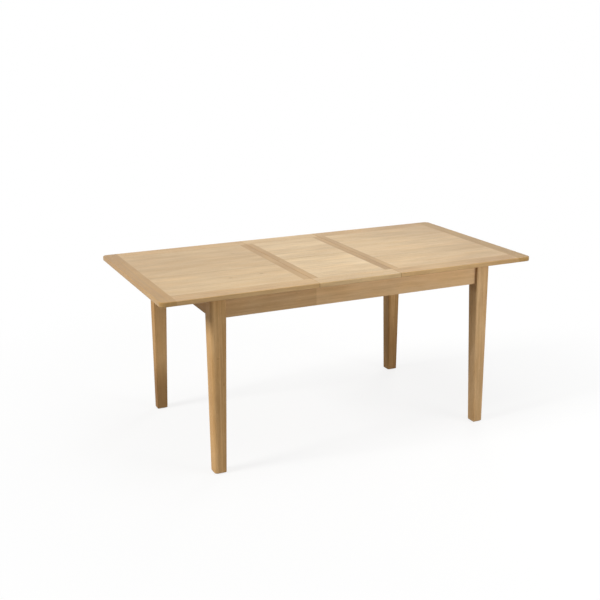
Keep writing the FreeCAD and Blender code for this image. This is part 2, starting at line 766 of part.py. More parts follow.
def guide_rail(sign_y):
    """Guide rail between the end aprons, grooved on both faces.

    Each groove stops at the end towards which its runner slides out, and that end is the runner's stop.
    """
    z = (GROOVE_MID_Z - GROOVE_HEIGHT / 2, GROOVE_MID_Z + GROOVE_HEIGHT / 2)
    bar = block((-APRON_IN_X, APRON_IN_X), (-GUIDE_OUT_Y, -GUIDE_IN_Y), (GUIDE_BOTTOM_Z, GUIDE_TOP_Z))
    past_end = APRON_IN_X + OVERRUN
    outer = block((-GROOVE_STOP_X, past_end), (-GUIDE_OUT_Y - OVERRUN, -GUIDE_OUT_Y + GROOVE_DEPTH), z)
    inner = block((GROOVE_STOP_X, -past_end), (-GUIDE_IN_Y + OVERRUN, -GUIDE_IN_Y - GROOVE_DEPTH), z)
    front = bar.cut(group([outer, inner] + guide_screws(-1)))
    return front if sign_y < 0 else turned(front)


def guide_screws(sign_y):
    """Screws down through a guide rail into the two cross rails."""
    y = sign_y * (GUIDE_OUT_Y + GUIDE_IN_Y) / 2
    tip = GUIDE_BOTTOM_Z - CROSS_RAIL_SCREW_BITE
    return [screw_down(sign_x * CROSS_RAIL_MID_X, y, GUIDE_TOP_Z, tip) for sign_x in ENDS.values()]


def cross_rail_blank(sign_x):
    """Cross rail between the long aprons, housed in both."""
    reach = APRON_IN_Y + CROSS_RAIL_HOUSING
    x = (sign_x * CROSS_RAIL_IN_X, sign_x * CROSS_RAIL_OUT_X)
    return block(x, (-reach, reach), (CROSS_RAIL_BOTTOM_Z, GUIDE_BOTTOM_Z))


def pivot_block_screws(sign_x):
    """Screws up through a cross rail into its pivot block."""
    y_span = (PIVOT_Y - PIVOT_BLOCK_LENGTH / 2, PIVOT_Y + PIVOT_BLOCK_LENGTH / 2)
    tip = GUIDE_BOTTOM_Z + PIVOT_BLOCK_SCREW_BITE
    places = spread(y_span[0], y_span[1], PIVOT_BLOCK_SCREW_SHARES)
    return [screw_up(sign_x * CROSS_RAIL_MID_X, y, CROSS_RAIL_BOTTOM_Z, tip) for y in places]


def cross_rail(sign_x):
    """Cross rail drilled for the screws of the guide rails and of its pivot block."""
    screws = [screw for sign_y in SIDES.values() for screw in guide_screws(sign_y)]
    return cross_rail_blank(sign_x).cut(group(screws + pivot_block_screws(sign_x)))


def bush_hole(sign_x, radius):
    """Cylinder through a pivot block on the leaf's pivot axis."""
    start = Vector(sign_x * CROSS_RAIL_IN_X, PIVOT_Y, PIVOT_Z)
    return Part.makeCylinder(radius, CROSS_RAIL_WIDTH, start, Vector(sign_x, 0, 0))


def pivot_block(sign_x):
    """Upright block on a cross rail that holds one pivot bush."""
    half = PIVOT_BLOCK_LENGTH / 2
    upright = block(
        (sign_x * CROSS_RAIL_IN_X, sign_x * CROSS_RAIL_OUT_X),
        (PIVOT_Y - half, PIVOT_Y + half),
        (GUIDE_BOTTOM_Z, UNDERSIDE_Z - PIVOT_BLOCK_TOP_GAP),
    )
    hole = bush_hole(sign_x, PIN_RADIUS + PIN_CLEARANCE + BUSH_WALL)
    return upright.cut(group([hole] + pivot_block_screws(sign_x)))


def pivot_bush(sign_x):
    """Plain bush in which a pivot pin turns."""
    inner = PIN_RADIUS + PIN_CLEARANCE
    return bush_hole(sign_x, inner + BUSH_WALL).cut(bush_hole(sign_x, inner))


def leaf_rest_rail():
    """Rail between the cross rails on which the folded leaf lies when it is put away."""
    stowed_z = UNDERSIDE_Z - 2 * PIVOT_DROP - 2 * TOP_THICKNESS - 2 * FOLD_AXIS_RISE
    top = stowed_z - REST_CLEARANCE
    y = HALF_WIDTH * REST_SHARE
    half = REST_RAIL_WIDTH / 2
    return block((-CROSS_RAIL_IN_X, CROSS_RAIL_IN_X), (y - half, y + half), (top - REST_RAIL_THICKNESS, top))


def corners():
    """Signs of X and Y of the four corners, by node name ending."""
    return {side + "_" + end: (ENDS[end], SIDES[side]) for side in SIDES for end in ENDS}


def frame():
    """All nodes of the standing frame."""
    nodes = {}
    for name, (sign_x, sign_y) in corners().items():
        nodes["leg_" + name] = leg(sign_x, sign_y)
        nodes["corner_brace_" + name] = corner_brace(sign_x, sign_y)
    for side, sign_y in SIDES.items():
        nodes["apron_" + side] = long_apron(sign_y)
        nodes["guide_rail_" + side] = guide_rail(sign_y)
    for end, sign_x in ENDS.items():
        nodes["apron_" + end] = end_apron(sign_x)
        nodes["cross_rail_" + end] = cross_rail(sign_x)
        nodes["pivot_block_" + end] = pivot_block(sign_x)
    nodes["leg_bolts"] = group([leg_bolt(*signs) for signs in corners().values()])
    nodes["leg_bolt_nuts"] = group([leg_bolt_nut(*signs) for signs in corners().values()])
    nodes["foot_glides"] = group([foot_glide(*signs) for signs in corners().values()])
    nodes["slip_pads"] = slip_pads()
    nodes["guide_rail_screws"] = group([screw for sign in SIDES.values() for screw in guide_screws(sign)])
    block_screws = [screw for sign in ENDS.values() for screw in pivot_block_screws(sign)]
    nodes["pivot_block_screws"] = group(block_screws)
    nodes["pivot_bushes"] = group([pivot_bush(sign) for sign in ENDS.values()])
    nodes["leaf_rest_rail"] = leaf_rest_rail()
    return nodes


def main():
    """Build every node and write one file for each."""
    nodes = frame()
    left = half_top()
    nodes.update(left)
    nodes.update({opposite_name(name): turned(shape) for name, shape in left.items()})
    nodes.update(leaf())
    os.makedirs("parts", exist_ok=True)
    for name, shape in nodes.items():
        shape.exportStep("parts/" + name + ".step")


main()
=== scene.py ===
import logging
import math
from collections.abc import Callable
from dataclasses import dataclass, field, replace
from enum import Enum
from typing import Any

import bpy
import numpy as np
from mathutils import Color, Matrix, Vector


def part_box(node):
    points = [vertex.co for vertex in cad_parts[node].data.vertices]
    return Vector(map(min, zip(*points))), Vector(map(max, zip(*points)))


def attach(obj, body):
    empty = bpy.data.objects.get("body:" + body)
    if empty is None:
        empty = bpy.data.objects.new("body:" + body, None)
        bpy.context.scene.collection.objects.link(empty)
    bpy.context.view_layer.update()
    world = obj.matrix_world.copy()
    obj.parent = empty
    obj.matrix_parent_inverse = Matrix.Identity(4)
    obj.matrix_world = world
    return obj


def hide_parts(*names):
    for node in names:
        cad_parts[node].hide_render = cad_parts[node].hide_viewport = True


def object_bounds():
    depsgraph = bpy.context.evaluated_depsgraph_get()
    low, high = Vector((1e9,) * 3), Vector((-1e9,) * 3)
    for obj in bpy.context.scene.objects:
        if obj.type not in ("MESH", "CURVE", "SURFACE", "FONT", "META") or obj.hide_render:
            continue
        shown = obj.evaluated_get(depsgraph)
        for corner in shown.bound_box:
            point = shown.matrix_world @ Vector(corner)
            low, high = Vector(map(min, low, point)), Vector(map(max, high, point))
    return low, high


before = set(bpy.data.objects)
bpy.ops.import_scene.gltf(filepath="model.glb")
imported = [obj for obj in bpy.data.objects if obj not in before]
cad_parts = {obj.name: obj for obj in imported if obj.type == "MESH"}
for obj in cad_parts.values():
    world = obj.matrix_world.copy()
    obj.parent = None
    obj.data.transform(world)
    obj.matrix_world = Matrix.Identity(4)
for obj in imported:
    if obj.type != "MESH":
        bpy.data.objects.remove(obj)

# Extending oak dining table, drawn out with its folding leaf in place.
# Metres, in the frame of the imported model: X along the table, Y from front to rear, Z up from the floor.

LOG = logging.getLogger("oak_table")
CAD_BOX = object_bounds()
ENDS = {"left": -1, "right": 1}
SIDES = {"front": -1, "rear": 1}
UP = Vector((0, 0, 1))
WHITE = (1.0, 1.0, 1.0, 1.0)
WHITE_LEVEL = 255

Material = bpy.types.Material
Node = bpy.types.Node
Colour = tuple[float, float, float]
Cell = tuple[float, float, float]
Place = tuple[float, float, float]
Limits = tuple[float, float]
Line = tuple[float, float]
Stations = tuple[float, ...]
Profile = list[tuple[float, float]]
Settings = dict[str, Any]
Sockets = dict[str | int, Any]
Operator = Callable[["Value", "Value | float"], "Value"]


def linear(colour: Colour, factors: Colour = (1.0, 1.0, 1.0)) -> tuple[float, ...]:
    """Linear colour, with full alpha, of a screen colour from 0 to 255, with a factor for each channel."""
    channels = Color([part / WHITE_LEVEL for part in colour]).from_srgb_to_scene_linear()
    return (*(part * factor for part, factor in zip(channels, factors)), 1.0)


class Grain(Enum):
    """Axes that run along, across and through a piece of timber, as indexes of X, Y and Z."""

    LENGTHWISE = (0, 1, 2)
    CROSSWISE = (1, 0, 2)
    LONG_APRON = (0, 2, 1)
    END_APRON = (1, 2, 0)
    UPRIGHT = (2, 0, 1)


def operators(operation: str) -> tuple[Operator, Operator]:
    """Make the method of an operator and its reflected form.

    Args:
        operation: operation of the Math node.

    Returns:
        The two methods.
    """

    def plain(self: "Value", other: "Value | float") -> "Value":
        """Work it out with the socket on the left."""
        return self.graph.math(operation, self, other)

    def reflected(self: "Value", other: "Value | float") -> "Value":
        """Work it out with the socket on the right."""
        return self.graph.math(operation, other, self)

    return plain, reflected


class Value:
    """Shader socket for arithmetic. A comparison gives one where it is true, and zero elsewhere."""

    __add__, __radd__ = operators("ADD")
    __sub__, __rsub__ = operators("SUBTRACT")
    __mul__, __rmul__ = operators("MULTIPLY")
    __truediv__, __rtruediv__ = operators("DIVIDE")
    __pow__, __rpow__ = operators("POWER")
    __gt__, __lt__ = operators("GREATER_THAN")

    def __init__(self, graph: "Graph", socket: bpy.types.NodeSocket) -> None:
        """Keep a socket and the graph that it belongs to."""
        self.graph = graph
        self.socket = socket

    def __abs__(self) -> "Value":
        """Size without its sign."""
        return self.graph.math("ABSOLUTE", self)

    def ramp(self, low: float, high: float) -> "Value":
        """Smooth step from zero at a low value to one at a high value, which may also be below it."""
        sockets = {"Value": self, "From Min": low, "From Max": high}
        return self.graph.out("MapRange", {"interpolation_type": "SMOOTHSTEP"}, sockets)


Axes = tuple[Value, Value, Value]


def total(terms: list[Value]) -> Value | float:
    """Sum of values, or zero if there are none."""
    return sum(terms[1:], terms[0]) if terms else 0.0


class Graph:
    """Node tree of one material or of the world."""

    def __init__(self, tree: bpy.types.NodeTree) -> None:
        """Empty a node tree and keep it."""
        self.tree = tree
        self.tree.nodes.clear()

    def add(self, kind: str, settings: Settings | None = None, sockets: Sockets | None = None) -> Node:
        """Add one node.

        Args:
            kind: the node's type, without its prefix.
            settings: attributes of the node, which are set first.
            sockets: input names or indexes, each with a number, a colour, or a Value or a node to link.

        Returns:
            The node.
        """
        node = self.tree.nodes.new("ShaderNode" + kind)
        for name, setting in (settings or {}).items():
            setattr(node, name, setting)
        for key, value in (sockets or {}).items():
            if isinstance(value, Value):
                self.tree.links.new(value.socket, node.inputs[key])
            elif isinstance(value, Node):
                self.tree.links.new(value.outputs[0], node.inputs[key])
            else:
                node.inputs[key].default_value = value
        return node

    def out(self, kind: str, settings: Settings, sockets: Sockets, output: int | str = 0) -> Value:
        """Add one node and wrap one of its outputs."""
        return Value(self, self.add(kind, settings, sockets).outputs[output])

    def math(self, operation: str, *operands: Value | float) -> Value:
        """Add a Math node and wrap its result."""
        return self.out("Math", {"operation": operation}, dict(enumerate(operands)))

    def mix(self, first: Any, second: Any, factor: Value, blend: str = "MIX") -> Value:
        """Blend of two colours, by a factor from zero to one."""
        settings = {"data_type": "RGBA", "blend_type": blend}
        return self.out("Mix", settings, {0: factor, 6: first, 7: second}, 2)

    def object_axes(self) -> Axes:
        """X, Y and Z of the surface in the piece's own frame."""
        place = self.out("TexCoord", {}, {}, "Object")
        return tuple(Value(self, axis) for axis in self.add("SeparateXYZ", {}, {0: place}).outputs)

    def noise(self, place: Axes, cell: Cell, detail: float = 1.0, roughness: float = 0.5) -> Value:
        """Cloud noise from zero to one.

        Args:
            place: the three coordinates that it is read at.
            cell: size of one cloud along each of them.
            detail: number of finer layers.
            roughness: strength of each finer layer, as a share of the one before.

        Returns:
            The noise.
        """
        scaled = self.out("CombineXYZ", {}, {axis: place[axis] / cell[axis] for axis in range(3)})
        sockets = {"Vector": scaled, "Scale": 1.0, "Detail": detail, "Roughness": roughness}
        return self.out("TexNoise", {"noise_dimensions": "3D"}, sockets)

    def chance(self, number: Value | float) -> Value | float:
        """Draw a random number for a whole number, the same in every run.

        Args:
            number: the whole number, or a value that holds one.

        Returns:
            The random number, from zero to one.
        """
        if isinstance(number, Value):
            return self.out("TexWhiteNoise", {"noise_dimensions": "1D"}, {"W": number})
        return float(np.random.default_rng(int(number)).random())

    def seen(self) -> Value:
        """Tell the rays that show a thing itself from those that only carry its light.

        Returns:
            One for a ray from the camera, off a mirror or through glass, and zero for any other.
        """
        rays = self.add("LightPath")
        names = ("Is Camera Ray", "Is Glossy Ray", "Is Transmission Ray")
        camera, glossy, through = (Value(self, rays.outputs[name]) for name in names)
        return self.math("MAXIMUM", self.math("MAXIMUM", camera, glossy), through)

    def bump(self, height: Value, strength: float, distance: float) -> Value:
        """Add a Bump node and wrap its normal."""
        return self.out("Bump", {}, {"Strength": strength, "Distance": distance, "Height": height})

    def blend(self, first: Node, second: Node, factor: Value) -> Node:
        """Add a Mix Shader between two shaders."""
        return self.add("MixShader", {}, {0: factor, 1: first, 2: second})

    def principled(self, sockets: Sockets) -> None:
        """Lead a Principled shader to the material's output."""
        self.add("OutputMaterial", {}, {"Surface": self.add("BsdfPrincipled", {}, sockets)})


class Finish:
    """Finish of a surface, which paints the nodes of its own material."""

    name: str

    def paint(self, graph: Graph) -> None:
        """Add the nodes to an empty graph, in each finish's own way."""
        raise NotImplementedError

    def material(self) -> Material:
        """Make the material.

        Returns:
            The material.
        """
        material = bpy.data.materials.new(self.name)
        material.use_nodes = True
        self.paint(Graph(material.node_tree))
        return material


@dataclass(frozen=True)
class Knot:
    """Small dark pin knot: its place along and across the grain, and its half length and half width."""

    along: float
    across: float
    half_length: float = 0.011
    half_width: float = 0.007


@dataclass(frozen=True)
class Joint:
    """Dark line at one place on X, Y or Z, where a board meets its neighbour, and also painted shade where
    an apron meets a leg.
    """

    axis: int
    place: float
    strength: float
    half_width: float


@dataclass(frozen=True)
class Fade:
    """Slow change of tone along the grain, from none at the start to its full amount at the end."""

    start: float
    end: float
    change: float


@dataclass(frozen=True)
class Layer:
    """Layer of noise in the timber.

    A cell is the size of one cloud along, across and through the grain. Limits are two levels of the noise
    between which a mark fades in. Weight, relief and roughness are the layer's parts in the shade, in the
    height of the bump and in the roughness. Shade runs from dark at 0 to pale at FIGURE.full_shade.
    """

    cell: Cell
    limits: Limits | None = None
    weight: float = 0.0
    relief: float = 0.0
    roughness: float = 0.0
    detail: float = 2.0

    def read(self, graph: Graph, place: Axes) -> Value:
        """Marks from zero to one at a place in the log, or without limits a swing about zero."""
        noise = graph.noise(place, self.cell, self.detail)
        return noise.ramp(*self.limits) if self.limits else noise - 0.5


# The cell of the rings is that of the slow drift which bends them.
RINGS = Layer((0.70, 0.14, 0.14), weight=0.60, relief=0.25, roughness=0.08)
STREAKS = Layer((0.13, 0.0075, 0.0075), weight=0.50)
FIBRES = Layer((0.09, 0.0022, 0.0022), weight=0.45, relief=0.30)
PORES = Layer(
    (0.018, 0.0007, 0.0007), (0.56, 0.70), weight=-0.16, relief=-0.9, roughness=0.10, detail=1.0
)
MOTTLE = Layer((0.22, 0.060, 0.060), weight=0.66)
RAYS = Layer((0.020, 0.006, 0.006), (0.58, 0.72), weight=0.08, detail=1.0)
FLECKS = Layer((0.030, 0.0055, 0.0055), (0.72, 0.79), weight=-0.25, detail=1.0)
HUE = Layer((0.16, 0.050, 0.050), (0.35, 0.70), detail=1.0)


@dataclass(frozen=True)
class OakFigure:
    """Numbers of the oak's figure and lacquer, alike in every piece."""

    ring_pitch: float = 0.011
    ring_drift: float = 0.022
    ring_slant: float = 0.5
    ring_detail: float = 3.0
    ring_layer_share: float = 0.62
    fleck_fibre: float = 0.25
    plain_shade: float = 0.60
    full_shade: float = 1.2
    tone_gain: float = 2.4
    heart_depth: float = 0.05
    heart_spread: float = 0.30
    log_length: float = 7.0
    draw_offsets: Stations = (0.0, 500.0, 900.0)
    glue_half_width: float = 0.0007
    glue_strength: float = 0.25
    line_core_share: float = 1 / 3
    knot_core: float = 0.1
    knot_strength: float = 0.55
    bump_strength: float = 0.22
    bump_distance: float = 0.0004
    bare_roughness: float = 0.70
    sheen_roughness: float = 0.30
    bare_gloss: float = 0.2
    sheen_gloss: float = 0.3


FIGURE = OakFigure()
FRAME_TONE: Colour = (206, 167, 116)
TOP_TONE: Colour = (211, 181, 135)
RAIL_TONE: Colour = (205, 170, 119)
BAND_TONE: Colour = (187, 151, 99)
INNER_TONE: Colour = (203, 168, 120)
DARK_SHARES: Colour = (0.68, 0.61, 0.51)
PALE_SHARES: Colour = (1.18, 1.20, 1.24)
RUDDY: Colour = (1.0, 0.965, 0.90)
# Painted shade: colour multiplied in towards the feet of the rear legs, where less light reaches them.
FOOT_PAINTED_SHADE: Colour = (0.50, 0.44, 0.37)
CALM_CONTRAST = 0.6
THIN_SHEEN = 0.2


@dataclass(frozen=True)
class OakFinish(Finish):
    """Lacquered oak, with a solid figure of rings, fibres and pores that runs through each glued stave.

    Staves meet at the edges across the grain, and lengths at the butts along it. Tones and butt_tones are
    their brightness, one more than the places where they meet. The painted foot shade darkens one end of
    the grain: painted shade at the feet of the rear legs.
    Contrast is the strength of rings, streaks, fibres and pores. Turn is the angle about Z from X to the
    grain of a piece that lies askew. The seed picks the part of the log. Sheen is 0 for bare timber.
    """

    name: str
    grain: Grain
    centre: Vector
    tone: Colour = FRAME_TONE
    edges: Stations = ()
    tones: Stations = (1.0,)
    butts: Stations = ()
    butt_tones: Stations = (1.0,)
    fades: tuple[Fade, ...] = ()
    # Painted shade towards one end of the grain, at the feet of the rear legs.
    stain: Fade | None = None
    knots: tuple[Knot, ...] = ()
    joints: tuple[Joint, ...] = ()
    contrast: float = 1.0
    turn: float = 0.0
    seed: int = 1
    sheen: float = 1.0

    def grain_axes(self, axes: Axes) -> Axes:
        """Turn the piece's own axes to its grain.

        Args:
            axes: X, Y and Z.

        Returns:
            Places along, across and through the grain.
        """
        x, y, z = axes
        if self.turn:
            cosine, sine = math.cos(self.turn), math.sin(self.turn)
            x, y = x * cosine + y * sine, y * cosine - x * sine
        return tuple((x, y, z)[index] for index in self.grain.value)

    def log_place(self, graph: Graph, place: Axes) -> Axes:
        """Place in the log: each stave has its own length of it, with the heart beside and below.

        Args:
            graph: the material's graph.
            place: places along, across and through the grain.

        Returns:
            Place along the log, and across and through it from its heart.
        """
        along, across, through = place
        centre = Matrix.Rotation(-self.turn, 3, "Z") @ self.centre
        middle = [centre[index] for index in self.grain.value]
        stave = total([across > edge for edge in self.edges]) + float(self.seed)
        lengthwise, sideways, down = (graph.chance(stave + offset) for offset in FIGURE.draw_offsets)
        return (
            along - middle[0] + lengthwise * FIGURE.log_length,
            across - middle[1] + (sideways - 0.5) * FIGURE.heart_spread,
            through - middle[2] + (down + 0.5) * FIGURE.heart_depth,
        )

    def rings(self, graph: Graph, place: Axes) -> Value:
        """Growth rings: noise along the distance from the heart, bent by a slow drift into long arches.

        Args:
            graph: the material's graph.
            place: place in the log.

        Returns:
            The rings, about zero.
        """
        along, across, through = place
        drift = RINGS.read(graph, place) * FIGURE.ring_drift
        radius = (across * across + through * through) ** 0.5 + drift
        phase = radius / FIGURE.ring_pitch + along * FIGURE.ring_slant
        finer = {"Detail": FIGURE.ring_detail, "Roughness": FIGURE.ring_layer_share}
        return graph.out("TexNoise", {"noise_dimensions": "1D"}, {"W": phase, "Scale": 1.0, **finer}) - 0.5

    def tone_change(self, along: Value, across: Value) -> Value | float:
        """Add up the steps of brightness from stave to stave and from length to length, and the fades.

        Args:
            along: place along the grain.
            across: place across the grain.

        Returns:
            The change from plain timber.
        """
        changes = [along.ramp(fade.start, fade.end) * fade.change for fade in self.fades]
        rows = ((across, self.edges, self.tones), (along, self.butts, self.butt_tones))
        for place, edges, tones in rows:
            changes += [(place > edge) * step for edge, step in zip(edges, np.diff(tones).tolist())]
        return total(changes) + sum(tones[0] - 1.0 for _, _, tones in rows)

    def flaws(self, axes: Axes, along: Value, across: Value) -> Value | float:
        """Add up the glue lines, the joints with other boards, the painted shade lines where aprons meet
        the legs, and the elliptical knots.

        Args:
            axes: X, Y and Z.
            along: place along the grain.
            across: place across the grain.

        Returns:
            How much they darken the timber.
        """
        lines = [(across - edge, FIGURE.glue_half_width, FIGURE.glue_strength) for edge in self.edges]
        for joint in self.joints:
            lines.append((axes[joint.axis] - joint.place, joint.half_width, joint.strength))
        marks = [
            abs(reach).ramp(half_width, half_width * FIGURE.line_core_share) * strength
            for reach, half_width, strength in lines
        ]
        for knot in self.knots:
            length = (along - knot.along) / knot.half_length
            width = (across - knot.across) / knot.half_width
            inside = (length * length + width * width).ramp(1.0, FIGURE.knot_core)
            marks.append(inside * FIGURE.knot_strength)
        return total(marks)

    def paint(self, graph: Graph) -> None:
        """Paint figure, tone and flaws as the colour, and the pores also as relief.

        Args:
            graph: the material's graph.
        """
        axes = graph.object_axes()
        grain = self.grain_axes(axes)
        along, across, _ = grain
        place = self.log_place(graph, grain)
        rings = self.rings(graph, place)
        layers = (STREAKS, FIBRES, PORES, MOTTLE, RAYS, HUE)
        streaks, fibres, pores, mottle, rays, ruddy = (layer.read(graph, place) for layer in layers)
        specks = graph.noise(place, FLECKS.cell, FLECKS.detail) + fibres * FIGURE.fleck_fibre
        flecks = specks.ramp(*FLECKS.limits)
        lines = rings * RINGS.weight + streaks * STREAKS.weight + fibres * FIBRES.weight
        figure = (lines + pores * PORES.weight) * self.contrast
        figure = figure + mottle * MOTTLE.weight + rays * RAYS.weight + flecks * FLECKS.weight
        shade = figure + self.tone_change(along, across) * FIGURE.tone_gain + FIGURE.plain_shade
        shade = (shade - self.flaws(axes, along, across)).ramp(0.0, FIGURE.full_shade)
        colour = graph.mix(linear(self.tone, DARK_SHARES), linear(self.tone, PALE_SHARES), shade)
        colour = graph.mix(colour, (*RUDDY, 1.0), ruddy, "MULTIPLY")
        # Painted shade: the colour darkens towards the feet of the rear legs.
        if self.stain:
            foot_shaded = along.ramp(self.stain.start, self.stain.end) * self.stain.change
            colour = graph.mix(colour, (*FOOT_PAINTED_SHADE, 1.0), foot_shaded, "MULTIPLY")
        relief = rings * RINGS.relief + fibres * FIBRES.relief + pores * PORES.relief
        even_roughness = FIGURE.bare_roughness - FIGURE.sheen_roughness * self.sheen
        graph.principled({
            "Base Color": colour,
            "Roughness": rings * RINGS.roughness + pores * PORES.roughness + even_roughness,
            "Normal": graph.bump(relief, FIGURE.bump_strength, FIGURE.bump_distance),
            "Specular IOR Level": FIGURE.bare_gloss + FIGURE.sheen_gloss * self.sheen,
        })


@dataclass(frozen=True)
class FineFinish(Finish):
    """Even material with a fine texture and clouds, as turned metal and a pressed nap have."""

    name: str
    colour: Colour
    roughness: float
    metallic: float = 1.0
    dark_shares: Colour = (0.72, 0.70, 0.66)
    pale_shares: Colour = (1.0, 1.0, 1.0)
    shade_limits: Limits = (0.3, 0.6)
    fine_cell: Cell = (0.0011, 0.0011, 0.00025)
    fine_detail: float = 1.0
    fine_layer_share: float = 0.5
    fine_shade: float = 0.0
    fine_roughness: float = 0.12
    cloud_cell: Cell = (0.004, 0.004, 0.004)
    cloud_detail: float = 3.0
    cloud_roughness: float = 0.2
    bump_strength: float = 0.15
    bump_distance: float = 0.0002

    def paint(self, graph: Graph) -> None:
        """Paint the texture and the clouds, which both shade and roughen the surface.

        Args:
            graph: the material's graph.
        """
        axes = graph.object_axes()
        fine = graph.noise(axes, self.fine_cell, self.fine_detail, self.fine_layer_share)
        clouds = graph.noise(axes, self.cloud_cell, self.cloud_detail)
        shade = fine * self.fine_shade + clouds * (1.0 - self.fine_shade)
        dark, pale = linear(self.colour, self.dark_shares), linear(self.colour, self.pale_shares)
        least_roughness = self.roughness - (self.fine_roughness + self.cloud_roughness) / 2
        graph.principled({
            "Base Color": graph.mix(dark, pale, shade.ramp(*self.shade_limits)),
            "Metallic": self.metallic,
            "Roughness": fine * self.fine_roughness + clouds * self.cloud_roughness + least_roughness,
            "Normal": graph.bump(fine, self.bump_strength, self.bump_distance),
        })


STEEL = FineFinish("zinc_steel", (188, 188, 184), 0.34)
BRASS = FineFinish("turned_brass", (200, 162, 92), 0.30)
FELT = FineFinish(
    "slip_felt",
    (96, 88, 78),
    0.85,
    metallic=0.0,
    dark_shares=(0.6, 0.6, 0.6),
    pale_shares=(1.2, 1.2, 1.2),
    shade_limits=(0.25, 0.75),
    fine_cell=(0.0012, 0.0012, 0.0012),
    fine_detail=3.0,
    fine_layer_share=0.7,
    fine_shade=0.6,
    fine_roughness=0.2,
    cloud_cell=(0.016, 0.016, 0.016),
    cloud_detail=2.0,
    cloud_roughness=0.0,
    bump_strength=0.4,
    bump_distance=0.0004,
)
NYLON = replace(
    FELT, name="glide_nylon", colour=(74, 65, 56), roughness=0.5, fine_cell=(0.002, 0.002, 0.002)
)


@dataclass(frozen=True)
class FloorFinish(Finish):
    """Pale floor, clear from below.

    To the eye and in a mirror it is almost white, takes the shadow and fades to white far off. It throws
    less light back up than it shows, as a darker studio floor does.
    """

    name: str = "pale_floor"
    shown_colour: Colour = (246, 246, 245)
    bounce_colour: Colour = (164, 162, 159)
    glow: float = 0.82
    fade_start: float = 1.0
    fade_end: float = 2.4

    def paint(self, graph: Graph) -> None:
        """Mix what is shown, what is thrown back and what is clear.

        Args:
            graph: the material's graph.
        """
        pale, bounce = (
            graph.add("BsdfDiffuse", {}, {"Color": linear(colour)})
            for colour in (self.shown_colour, self.bounce_colour)
        )
        white = graph.add("Emission", {}, {"Color": WHITE, "Strength": 1.0})
        x, y, _ = graph.object_axes()
        far = ((x * x + y * y) ** 0.5).ramp(self.fade_start, self.fade_end)
        shown = graph.blend(pale, white, far * (1.0 - self.glow) + self.glow)
        by_ray = graph.blend(bounce, shown, graph.seen())
        below = graph.out("NewGeometry", {}, {}, "Backfacing")
        whole = graph.blend(by_ray, graph.add("BsdfTransparent"), below)
        graph.add("OutputMaterial", {}, {"Surface": whole})


def centre_of(node: str) -> Vector:
    """Middle of a CAD node's box."""
    low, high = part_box(node)
    return (low + high) / 2


def end_of(low: float, high: float, sign: int) -> float:
    """The end of a range that a sign points to."""
    return high if sign > 0 else low


def dress(node: str, material: Material) -> None:
    """Give a CAD node one material.

    Args:
        node: the node's name.
        material: the material.
    """
    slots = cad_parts[node].data.materials
    slots.clear()
    slots.append(material)
    LOG.info("%s: dressed in %s", node, material.name)


def oak_for(node: str, grain: Grain, **options: Any) -> Material:
    """Oak of its own, with other fields of OakFinish, for one CAD node or the piece that replaces it."""
    seed = sum(map(ord, node))
    return OakFinish("oak_" + node, grain, centre_of(node), seed=seed, **options).material()


def dress_oak(node: str, grain: Grain, **options: Any) -> None:
    """Give a CAD node oak of its own."""
    dress(node, oak_for(node, grain, **options))


@dataclass
class Surface:
    """Closed surface as arrays: points, and faces as rows of point indexes."""

    points: np.ndarray
    quads: np.ndarray
    caps: list[np.ndarray] = field(default_factory=list)

    def placed(self, matrix: Matrix) -> "Surface":
        """Copy moved and turned by a matrix."""
        turn = np.array(matrix.to_3x3())
        return Surface(self.points @ turn.T + np.array(matrix.translation), self.quads, self.caps)

    def piece(self, name: str, material: Material, sharp_degrees: float = 32.0) -> bpy.types.Object:
        """Make a mesh object of the surface, smooth except across sharp edges.

        Args:
            name: name of the object.
            material: its material.
            sharp_degrees: angle between faces from which an edge stays sharp.

        Returns:
            The object, at the origin.
        """
        mesh = bpy.data.meshes.new(name)
        faces = self.quads.tolist() + [cap.tolist() for cap in self.caps]
        mesh.from_pydata(self.points.tolist(), [], faces)
        mesh.shade_smooth()
        mesh.set_sharp_from_angle(angle=math.radians(sharp_degrees))
        mesh.materials.append(material)
        piece = bpy.data.objects.new(name, mesh)
        bpy.context.scene.collection.objects.link(piece)
        return piece


def joined(parts: list[Surface]) -> Surface:
    """One surface with the points and faces of them all."""
    starts = np.cumsum([0] + [len(part.points) for part in parts[:-1]])
    return Surface(
        np.concatenate([part.points for part in parts]),
        np.concatenate([part.quads + start for part, start in zip(parts, starts)]),
        [cap + start for part, start in zip(parts, starts) for cap in part.caps],
    )


def ring_grid(points: np.ndarray, closed_rows: bool = False) -> Surface:
    """Surface of rings of points that lie one above the other, each ring closed on itself.

    Args:
        points: rows, columns and three coordinates. Columns run anticlockwise seen from the last row.
        closed_rows: True if the last ring meets the first, False if flat caps close both ends.

    Returns:
        The surface, with its faces outwards.
    """
    rows, columns = points.shape[:2]
    index = np.arange(rows * columns).reshape(rows, columns)
    beside = np.roll(index, -1, axis=1)
    upper = np.roll(index, -1, axis=0)
    corner = np.roll(upper, -1, axis=1)
    quads = np.stack([index, beside, corner, upper], axis=-1)
    if closed_rows:
        return Surface(points.reshape(-1, 3), quads.reshape(-1, 4))
    return Surface(points.reshape(-1, 3), quads[:-1].reshape(-1, 4), [index[0, ::-1], index[-1]])


def full_turn(sides: int) -> np.ndarray:
    """Angles of even steps once round."""
    return np.linspace(0, 2 * np.pi, sides, endpoint=False)


def around(radius: np.ndarray, turn: np.ndarray, height: np.ndarray) -> np.ndarray:
    """Grid of points round +Z: radius r, turn t and height h give (r cos t, r sin t, h)."""
    return np.stack(np.broadcast_arrays(radius * np.cos(turn), radius * np.sin(turn), height), axis=-1)


